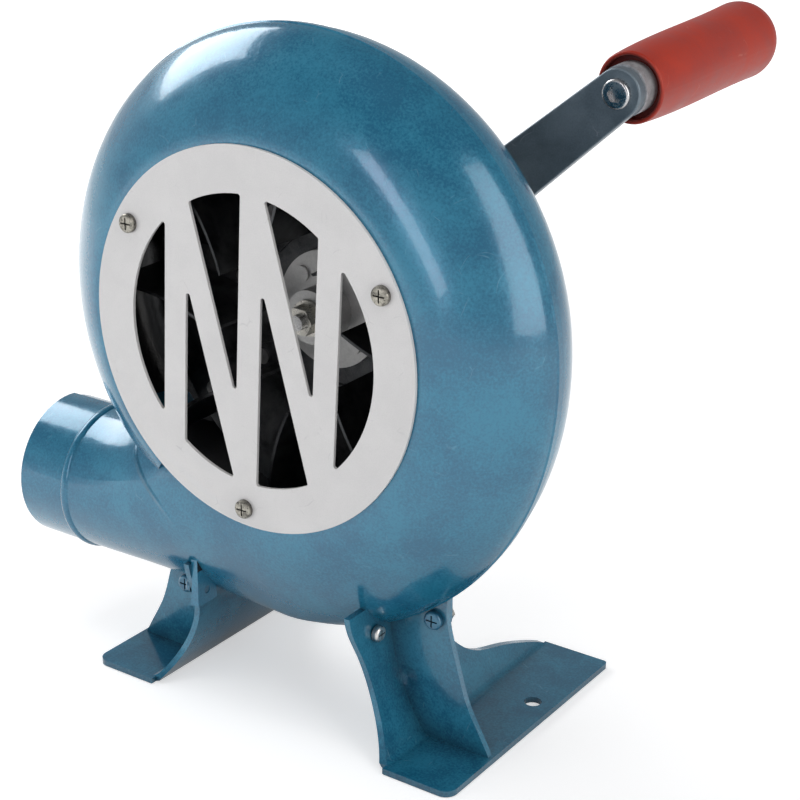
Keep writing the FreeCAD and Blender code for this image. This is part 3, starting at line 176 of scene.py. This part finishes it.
def makeInsideShadeGroup():
    # 1 on the housing's faces that look inwards, at the fan's middle or at the duct's centre line, where
    # the shade inside the housing is painted
    tree, given, result = newGroup("insideShade", {
        "Fan Middle": ("vector", (0.0, -0.045, 0.159)),
        "Duct Middle": ("vector", (0.0, -0.046, 0.0722)),
        "Duct Root": ("number", -0.05),
        "Duct Top": ("number", 0.108),
        "Duct Mouth": ("number", -0.07),
        "Lowest": ("number", 0.055),
    }, ["Mask"])
    place = objectPlace(tree, -900, -300)
    at = splitAxes(tree, -700, -300, place)
    left = calculate(tree, -500, -300, "LESS_THAN", at["X"], given["Duct Root"])
    low = calculate(tree, -500, -450, "LESS_THAN", at["Z"], given["Duct Top"])
    inDuct = calculate(tree, -300, -350, "MULTIPLY", left, low)
    along = addNode(tree, "ShaderNodeCombineXYZ", -500, -600)
    feed(tree, at["X"], along.inputs["X"])
    ductPoint = calculateVector(tree, -300, -550, "ADD", along.outputs["Vector"], given["Duct Middle"])
    middle = mix(tree, -100, -350, "VECTOR", inDuct, given["Fan Middle"], ductPoint)
    outwards = calculateVector(tree, 100, -250, "SUBTRACT", place, middle)
    faceNormal = addNode(tree, "ShaderNodeNewGeometry", 100, 0).outputs["True Normal"]
    facing = calculateVector(tree, 300, -150, "DOT_PRODUCT", outwards, faceNormal)
    inwards = calculate(tree, 400, 0, "LESS_THAN", facing, 0.0)
    above = calculate(tree, 400, 200, "GREATER_THAN", at["Z"], given["Lowest"])
    beyond = calculate(tree, 400, 350, "LESS_THAN", at["X"], given["Duct Mouth"])
    shadeBand = calculate(tree, 500, 250, "MAXIMUM", above, beyond)
    feed(tree, calculate(tree, 600, 0, "MULTIPLY", inwards, shadeBand), result["Mask"])
    return tree


def makeSpotGroup():
    # 1 within the core round a point, fading to 0 at the given radius
    tree, given, result = newGroup("spot", {
        "Middle": ("vector", (0.0, 0.0, 0.0)),
        "Radius": ("number", 0.005),
        "Core": ("number", 0.0),
    }, ["Mask"])
    place = objectPlace(tree, -900, -300)
    away = calculateVector(tree, -600, -100, "DISTANCE", place, given["Middle"])
    feed(tree, mapRange(tree, -300, 0, away, given["Core"], given["Radius"], 1.0, 0.0), result["Mask"])
    return tree


creaseLook = {"runIn": 0.006, "shadeBandEdge": -0.0005, "shadeBandEnd": 0.0006}


def makeCreaseGroup(look):
    # a short pressed line that starts deep, runs out to nothing, and has painted shade in a darker band on
    # one side
    tree, given, result = newGroup("crease", {
        "Start": ("vector", (0.0, 0.0, 0.0)),
        "Along": ("vector", (1.0, 0.0, 0.0)),
        "Across": ("vector", (0.0, 0.0, 1.0)),
        "Length": ("number", 0.03),
        "Width": ("number", 0.0015),
        "ShadeBand": ("number", 0.009),
        "Front": ("number", -0.062),
    }, ["Height", "ShadeBand"])
    place = objectPlace(tree, -900, -300)
    offset = calculateVector(tree, -700, -300, "SUBTRACT", place, given["Start"])
    along = calculateVector(tree, -500, -200, "DOT_PRODUCT", offset, given["Along"])
    across = calculateVector(tree, -500, -400, "DOT_PRODUCT", offset, given["Across"])
    runOut = mapRange(tree, -300, -100, along, 0.0, given["Length"], 1.0, 0.0)
    runIn = mapRange(tree, -300, 50, along, -look["runIn"], 0.0, 0.0, 1.0)
    reach = calculate(tree, -100, 0, "MULTIPLY", runOut, runIn)
    depth = splitAxes(tree, -500, -600, place)["Y"]
    front = calculate(tree, -300, -600, "LESS_THAN", depth, given["Front"])
    strength = calculate(tree, 50, -100, "MULTIPLY", reach, front)
    off = calculate(tree, -300, -300, "ABSOLUTE", across)
    line = mapRange(tree, -100, -300, off, 0.0, given["Width"], 1.0, 0.0)
    feed(tree, calculate(tree, 250, -100, "MULTIPLY", line, strength), result["Height"])
    farSide = calculate(tree, -300, -450, "MULTIPLY", given["ShadeBand"], -1.0)
    low = mapRange(tree, -100, -450, across, farSide, look["shadeBandEdge"], 0.0, 1.0)
    high = mapRange(tree, -100, -600, across, look["shadeBandEdge"], look["shadeBandEnd"], 1.0, 0.0)
    shadeBand = calculate(tree, 100, -450, "MULTIPLY", low, high)
    feed(tree, calculate(tree, 250, -450, "MULTIPLY", shadeBand, strength), result["ShadeBand"])
    return tree


groups = {"mottle": makeMottleGroup(mottleLook), "scuffs": makeScuffGroup(scuffLook),
          "relief": makeReliefGroup(), "insideShade": makeInsideShadeGroup(),
          "spot": makeSpotGroup(), "crease": makeCreaseGroup(creaseLook)}
print("shader groups made:", len(groups))


# what a finish can have on its two shades, each put on by its own function

def placeGroup(tree, name, x, y, **values):
    node = addNode(tree, "ShaderNodeGroup", x, y, node_tree=groups[name])
    for label, value in values.items():
        feed(tree, value, node.inputs[label.replace("_", " ")])
    return node.outputs


def addBump(tree, x, y, height, distance, strength=1.0, under=None, invert=False):
    bump = addNode(tree, "ShaderNodeBump", x, y, invert=invert)
    bump.inputs["Strength"].default_value = strength
    bump.inputs["Distance"].default_value = distance
    feed(tree, height, bump.inputs["Height"])
    if under:
        feed(tree, under, bump.inputs["Normal"])
    return bump.outputs["Normal"]


def addCrease(tree, colour, normal, shadeBandColour, depth, shade, **line):
    pressed = placeGroup(tree, "crease", -900, -500, **line)
    normal = addBump(tree, -150, -350, pressed["Height"], depth, under=normal)
    # painted shade in the band beside the pressed line
    share = calculate(tree, -600, 650, "MULTIPLY", pressed["ShadeBand"], shade)
    return mix(tree, -400, 400, "RGBA", share, colour, shadeBandColour), normal


def addDent(tree, normal, middle, radius, depth):
    dent = placeGroup(tree, "spot", -900, -750, Middle=middle, Radius=radius)
    return addBump(tree, -100, -500, dent["Mask"], depth, under=normal, invert=True)


def addScuffs(tree, colour, wornColour, amount):
    scuffs = placeGroup(tree, "scuffs", -700, 0, Amount=amount)
    return mix(tree, -300, 100, "RGBA", scuffs["Mask"], colour, wornColour)


def addInsideShade(tree, colour, insideShadeColour, coat, shader):
    # painted shade inside the housing: a near-black colour and no coat on the inward faces
    insideShade = placeGroup(tree, "insideShade", -700, 500)["Mask"]
    outside = calculate(tree, -450, 500, "SUBTRACT", 1.0, insideShade)
    feed(tree, calculate(tree, -300, 500, "MULTIPLY", outside, coat), shader.inputs["Coat Weight"])
    return mix(tree, -150, 200, "RGBA", insideShade, colour, insideShadeColour)


def addBareSpot(tree, colour, shader, paintMetallic, middle, radius, core, bareColour, bareMetallic):
    # bare metal round one point, where the paint is gone
    bare = placeGroup(tree, "spot", -700, 650, Middle=middle, Radius=radius, Core=core)["Mask"]
    metallic = mapRange(tree, -100, 500, bare, 0.0, 1.0, paintMetallic, bareMetallic)
    feed(tree, metallic, shader.inputs["Metallic"])
    return mix(tree, -100, 350, "RGBA", bare, colour, bareColour)


cornerShadeLook = {"samples": 4, "openness": (0.35, 1.0), "tint": (0.25, 0.25, 0.28)}


def addCornerShade(tree, colour, amount, distance):
    # painted shade in the inner corners and recesses, darker where ambient occlusion finds them closed in
    corner = addNode(tree, "ShaderNodeAmbientOcclusion", -300, 700, samples=cornerShadeLook["samples"])
    corner.inputs["Distance"].default_value = distance
    shadeShare = mapRange(tree, -100, 700, corner.outputs["AO"], *cornerShadeLook["openness"], amount, 0.0)
    shadedColour = mix(tree, 50, 450, "RGBA", 1.0, colour, cornerShadeLook["tint"], blend="MULTIPLY")
    return mix(tree, 200, 350, "RGBA", shadeShare, colour, shadedColour)


def newFinish(name, light, dark, smooth, rough, metallic=0.0, scale=60.0, grainScale=1500.0, grain=0.3,
              waveScale=250.0, toothScale=1800.0, tooth=0.3, bump=0.1, bumpDistance=0.0002, coat=None,
              crease=None, dents=(), scuffs=None, insideShadeColour=None, bareSpot=None, cornerShade=None):
    material = bpy.data.materials.new(name)
    material.use_nodes = True
    tree = material.node_tree
    shader = tree.nodes["Principled BSDF"]
    shader.inputs["Metallic"].default_value = metallic
    for label, value in (coat or {}).items():
        shader.inputs[label].default_value = value
    mottle = placeGroup(tree, "mottle", -700, 200, Light=light, Dark=dark, Scale=scale,
                        Grain_Scale=grainScale, Grain=grain, Smooth=smooth, Rough=rough)
    relief = placeGroup(tree, "relief", -700, -250, Wave_Scale=waveScale, Tooth_Scale=toothScale,
                        Tooth=tooth)
    colour = mottle["Color"]
    normal = addBump(tree, -300, -250, relief["Height"], bumpDistance, bump)
    if crease:
        colour, normal = addCrease(tree, colour, normal, dark, **crease)
    for dent in dents:
        normal = addDent(tree, normal, **dent)
    if scuffs:
        colour = addScuffs(tree, colour, **scuffs)
    if insideShadeColour:
        colour = addInsideShade(tree, colour, insideShadeColour, coat["Coat Weight"], shader)
    if bareSpot:
        colour = addBareSpot(tree, colour, shader, metallic, **bareSpot)
    # painted shade in corners and recesses
    if cornerShade:
        colour = addCornerShade(tree, colour, **cornerShade)
    feed(tree, colour, shader.inputs["Base Color"])
    feed(tree, mottle["Roughness"], shader.inputs["Roughness"])
    feed(tree, normal, shader.inputs["Normal"])
    return material


# one finish per kind of surface

enamelCoat = {"Coat Weight": 0.45, "Coat Roughness": 0.06, "Specular IOR Level": 0.7}
finishes = {
    # hammered metallic enamel on the pressed steel, with painted shade on its faces inside the housing
    "blue_shell": dict(
        light=(0.020, 0.196, 0.315), dark=(0.009, 0.122, 0.225), smooth=0.17, rough=0.27, metallic=0.20,
        scale=38.0, grainScale=1100.0, grain=1.0, waveScale=330.0, toothScale=1300.0, bump=0.30,
        scuffs=dict(wornColour=(0.16, 0.36, 0.46), amount=0.35),
        insideShadeColour=(0.007, 0.008, 0.010),
        crease=dict(Start=(-0.0620, -0.0712, 0.0968), Along=(0.735, 0.0, -0.678),
                    Across=(0.678, 0.0, 0.735), Length=0.031, Width=0.0013, ShadeBand=0.008,
                    depth=0.001, shade=0.45),
        coat=enamelCoat),
    # the housing's enamel again on the feet and gussets, its colours set a little darker as painted shade
    "blue_paint": dict(
        light=(0.021, 0.190, 0.300), dark=(0.009, 0.112, 0.200), smooth=0.17, rough=0.27, metallic=0.20,
        grainScale=1100.0, grain=1.0, waveScale=330.0, toothScale=1300.0, bump=0.32,
        scuffs=dict(wornColour=(0.16, 0.36, 0.46), amount=0.45),
        cornerShade=dict(amount=0.75, distance=0.012),
        dents=[dict(middle=(0.0485, -0.0451, 0.0255), radius=0.0045, depth=0.0012)],
        coat=enamelCoat),
    # the foot screws were painted over with the feet, apart from the one that was put in last
    "painted_screws": dict(
        light=(0.020, 0.155, 0.255), dark=(0.008, 0.090, 0.170), smooth=0.26, rough=0.38, metallic=0.35,
        scale=300.0, grain=0.6, waveScale=500.0, bump=0.3,
        cornerShade=dict(amount=0.8, distance=0.004),
        bareSpot=dict(middle=(0.043, -0.0550, 0.0460), radius=0.011, core=0.0099,
                      bareColour=(0.62, 0.62, 0.60), bareMetallic=0.95),
        coat={"Coat Weight": 0.9, "Coat Roughness": 0.06}),
    "dull_screws": dict(
        light=(0.46, 0.44, 0.38), dark=(0.13, 0.125, 0.11), smooth=0.26, rough=0.42, metallic=0.9,
        scale=420.0, grain=0.7, waveScale=700.0, bump=0.35, cornerShade=dict(amount=1.0, distance=0.003)),
    "grille_plate": dict(
        light=(0.700, 0.697, 0.690), dark=(0.635, 0.633, 0.628), smooth=0.42, rough=0.55, metallic=0.15,
        scale=50.0, grainScale=2600.0, grain=0.8, toothScale=2600.0, tooth=0.6, bump=0.12,
        scuffs=dict(wornColour=(0.45, 0.45, 0.46), amount=0.5)),
    "zinc_fasteners": dict(
        light=(0.62, 0.60, 0.54), dark=(0.42, 0.41, 0.38), smooth=0.22, rough=0.38, metallic=0.95,
        scale=300.0, grain=0.5),
    "grey_casting": dict(
        light=(0.115, 0.13, 0.145), dark=(0.075, 0.085, 0.10), smooth=0.42, rough=0.6, metallic=0.2,
        scale=45.0, grain=0.8, waveScale=420.0, toothScale=1400.0, tooth=0.7, bump=0.55,
        scuffs=dict(wornColour=(0.3, 0.3, 0.3), amount=0.5)),
    "gasket_fibre": dict(
        light=(0.06, 0.05, 0.04), dark=(0.03, 0.025, 0.02), smooth=0.8, rough=0.95, grain=0.9, bump=0.4),
    "bush_bronze": dict(
        light=(0.62, 0.42, 0.18), dark=(0.48, 0.31, 0.12), smooth=0.22, rough=0.4, metallic=1.0,
        scale=200.0, bump=0.08),
    "bearing_steel": dict(
        light=(0.66, 0.67, 0.69), dark=(0.52, 0.53, 0.55), smooth=0.12, rough=0.25, metallic=1.0,
        scale=150.0, bump=0.04),
    "gear_steel": dict(
        light=(0.42, 0.42, 0.43), dark=(0.28, 0.28, 0.29), smooth=0.22, rough=0.42, metallic=1.0,
        scale=160.0, bump=0.12),
    "fan_sheet": dict(
        light=(0.14, 0.145, 0.15), dark=(0.04, 0.042, 0.046), smooth=0.35, rough=0.55, metallic=0.85,
        scale=90.0, bump=0.15),
    "fan_hub": dict(
        light=(0.62, 0.62, 0.61), dark=(0.40, 0.40, 0.40), smooth=0.35, rough=0.5, metallic=0.9,
        scale=90.0, bump=0.2),
    "dark_steel": dict(
        light=(0.172, 0.218, 0.250), dark=(0.120, 0.156, 0.184), smooth=0.34, rough=0.5, metallic=0.45,
        scale=70.0, grain=0.7, waveScale=300.0, bump=0.22,
        scuffs=dict(wornColour=(0.33, 0.36, 0.40), amount=0.7),
        coat={"Coat Weight": 0.15, "Coat Roughness": 0.3}),
    "bright_steel": dict(
        light=(0.60, 0.60, 0.60), dark=(0.40, 0.40, 0.41), smooth=0.18, rough=0.36, metallic=1.0,
        scale=240.0, grain=0.6),
    "collar_steel": dict(
        light=(0.66, 0.67, 0.69), dark=(0.44, 0.45, 0.47), smooth=0.30, rough=0.48, metallic=0.6,
        scale=240.0, grain=0.6, bump=0.12),
    "red_grip": dict(
        light=(0.44, 0.030, 0.009), dark=(0.33, 0.018, 0.005), smooth=0.38, rough=0.52,
        scale=55.0, grain=0.6, waveScale=180.0, toothScale=1600.0, tooth=0.25, bump=0.15,
        scuffs=dict(wornColour=(0.55, 0.17, 0.12), amount=0.5),
        cornerShade=dict(amount=1.0, distance=0.010)),
}
materials = {name: newFinish(name, **look) for name, look in finishes.items()}

nodeFinish = {
    "blue_shell": ["front_shell", "rear_shell"],
    "blue_paint": ["right_foot", "left_foot", "right_gusset", "left_gusset"],
    "grille_plate": ["intake_grille"],
    "dull_screws": ["grille_screws"],
    "painted_screws": ["foot_screws"],
    "zinc_fasteners": ["foot_nuts", "case_screws", "case_nuts", "cover_screws", "oil_plug", "crank_washer",
                       "crank_nut", "fan_washer", "fan_nut"],
    "grey_casting": ["gear_case", "gear_cover"],
    "gasket_fibre": ["case_gasket", "cover_gasket"],
    "bush_bronze": ["crank_bush", "layshaft_bush_front", "layshaft_bush_rear"],
    "bearing_steel": ["front_bearing_outer_ring", "rear_bearing_outer_ring", "front_bearing_inner_ring",
                      "rear_bearing_inner_ring", "front_bearing_balls", "rear_bearing_balls"],
    "gear_steel": ["fan_pinion", "layshaft_gear", "layshaft_pinion", "crank_gear", "crank_gear_key",
                   "crank_gear_circlip"],
    "fan_sheet": ["impeller_disc", "impeller_blades"],
    "fan_hub": ["impeller_hub", "impeller_rivets", "hub_spacer"],
    "dark_steel": ["crank_arm"],
    "bright_steel": ["fan_shaft", "layshaft", "crank_shaft", "handle_spindle", "grip_clip"],
    "collar_steel": ["spindle_collar"],
    "red_grip": ["handle_grip"],
}
for finish, names in nodeFinish.items():
    for name in names:
        mesh = nodes[name].data
        mesh.materials.clear()
        mesh.materials.append(materials[finish])
print("finishes:", len(materials))


# floor, backdrop, lamps and camera

def addGlow(tree, look, seen):
    # the floor's own light, which shows directly and in what mirrors it, but lights nothing
    away = calculateVector(tree, -600, 100, "LENGTH", objectPlace(tree, -800, 100))
    glow = mapRange(tree, -400, 100, away, look["near"], look["far"], look["glowNear"], look["glowFar"])
    straight = calculate(tree, -400, -150, "MAXIMUM", seen["Is Camera Ray"], seen["Is Transmission Ray"])
    direct = calculate(tree, -250, -100, "MULTIPLY", straight, glow)
    mirror = mapRange(tree, -400, -350, away, look["shadeEdge"], look["shadeEnd"], 0.0, look["mirrored"])
    mirrored = calculate(tree, -250, -300, "MULTIPLY", seen["Is Glossy Ray"], mirror)
    return calculate(tree, -100, -200, "MAXIMUM", direct, mirrored)


def makeFloor(look):
    # plain paint that keeps the shadow, and goes over into the white backdrop further out
    material = bpy.data.materials.new("floor_paint")
    material.use_nodes = True
    tree = material.node_tree
    shader = tree.nodes["Principled BSDF"]
    shader.inputs["Base Color"].default_value = (*look["colour"], 1.0)
    shader.inputs["Roughness"].default_value = look["roughness"]
    shader.inputs["Emission Color"].default_value = (1.0, 1.0, 1.0, 1.0)
    seen = addNode(tree, "ShaderNodeLightPath", -600, -200).outputs
    feed(tree, addGlow(tree, look, seen), shader.inputs["Emission Strength"])
    bpy.ops.mesh.primitive_plane_add(size=look["size"], location=(0, 0, look["height"]))
    plane = bpy.context.object
    plane.name = "floor"
    plane.data.materials.append(material)
    return plane


floorLook = {"size": 12.0, "height": -0.0003, "colour": (0.72, 0.72, 0.72), "roughness": 0.9,
             "glowNear": 0.5, "glowFar": 1.0, "near": 0.35, "far": 1.5,
             "mirrored": 0.6, "shadeEdge": 0.03, "shadeEnd": 0.20}
floor = makeFloor(floorLook)


def makeBackdrop(look):
    # seen directly the backdrop is white; what it lights and what the paint mirrors is a dimmer room
    world = bpy.data.worlds.new("studio")
    world.use_nodes = True
    tree = world.node_tree
    background = tree.nodes["Background"]
    seen = addNode(tree, "ShaderNodeLightPath", -900, 0).outputs
    direction = addNode(tree, "ShaderNodeTexCoord", -1100, 300).outputs["Generated"]
    upwards = splitAxes(tree, -900, 300, direction)["Z"]
    fade = mapRange(tree, -700, 300, upwards, *look["fadeSpan"], 1.0, look["zenith"])
    room = mapRange(tree, -700, 0, seen["Is Glossy Ray"], 0.0, 1.0, look["light"], look["glossy"])
    roomStrength = calculate(tree, -500, 100, "MULTIPLY", room, fade)
    direct = calculate(tree, -700, -200, "MAXIMUM", seen["Is Camera Ray"], seen["Is Transmission Ray"])
    strength = mapRange(tree, -300, 0, direct, 0.0, 1.0, roomStrength, look["camera"])
    feed(tree, strength, background.inputs["Strength"])
    tint = mix(tree, -300, 200, "RGBA", direct, look["tint"], (1.0, 1.0, 1.0))
    feed(tree, tint, background.inputs["Color"])
    return world


backdropLook = {"camera": 1.0, "light": 0.5, "glossy": 0.60, "zenith": 0.34, "fadeSpan": (0.1, 0.8),
                "tint": (0.93, 0.96, 1.0)}
scene.world = makeBackdrop(backdropLook)
print("floor and backdrop made")


def aimed(location, target, roll=0.0):
    back = (Vector(location) - Vector(target)).normalized()
    turn = back.to_track_quat("Z", "Y").to_matrix() @ Matrix.Rotation(math.radians(roll), 3, "Z")
    return Matrix.Translation(Vector(location)) @ turn.to_4x4()


def addLamp(name, location, target, width, height, power, roll=0.0, colour=(1.0, 1.0, 1.0), shows=True):
    data = bpy.data.lights.new(name, "AREA")
    data.shape = "RECTANGLE"
    data.size, data.size_y = width, height
    data.energy = power
    data.color = colour
    lamp = bpy.data.objects.new(name, data)
    scene.collection.objects.link(lamp)
    lamp.matrix_world = aimed(location, target, roll)
    lamp.visible_glossy = shows  # a lamp that doesn't show leaves no highlight on the paint
    return lamp


lamps = {
    "left_softbox": dict(location=(-1.07, 0.13, 0.88), target=(0.0, 0.0, 0.15),
                         width=0.75, height=0.62, power=8.0),
    "right_window": dict(location=(1.28, -0.23, 0.95), target=(0.0, -0.02, 0.95),
                         width=0.85, height=1.72, power=11.5, colour=(1.0, 0.975, 0.95)),
    "front_strip": dict(location=(0.17, -1.4, 0.68), target=(0.0, 0.0, 0.68),
                        width=0.24, height=1.1, power=3.2, roll=34.0, colour=(1.0, 0.93, 0.97)),
    "overhead_softbox": dict(location=(-0.1, -0.5, 1.9), target=(0.0, 0.0, 0.15),
                             width=1.0, height=0.8, power=7.0, shows=False),
    "low_fill": dict(location=(-0.75, -1.0, 0.16), target=(-0.03, -0.05, 0.08),
                     width=0.8, height=0.4, power=3.6, shows=False),
}
for lampName, values in lamps.items():
    addLamp(lampName, **values)


def addCamera(location, target, roll, lens, sensorWidth):
    data = bpy.data.cameras.new("camera")
    data.lens = lens
    data.sensor_width = sensorWidth
    camera = bpy.data.objects.new("camera", data)
    scene.collection.objects.link(camera)
    camera.matrix_world = aimed(location, target, roll)
    return camera


cameraView = {"location": (0.396044, -0.557382, 0.382220), "target": (0.065781, -0.077, 0.152819),
              "roll": 0.4661, "lens": 83.24, "sensorWidth": 36.0}
scene.camera = addCamera(**cameraView)
scene.view_settings.view_transform = "Standard"
print("lamps and camera set")
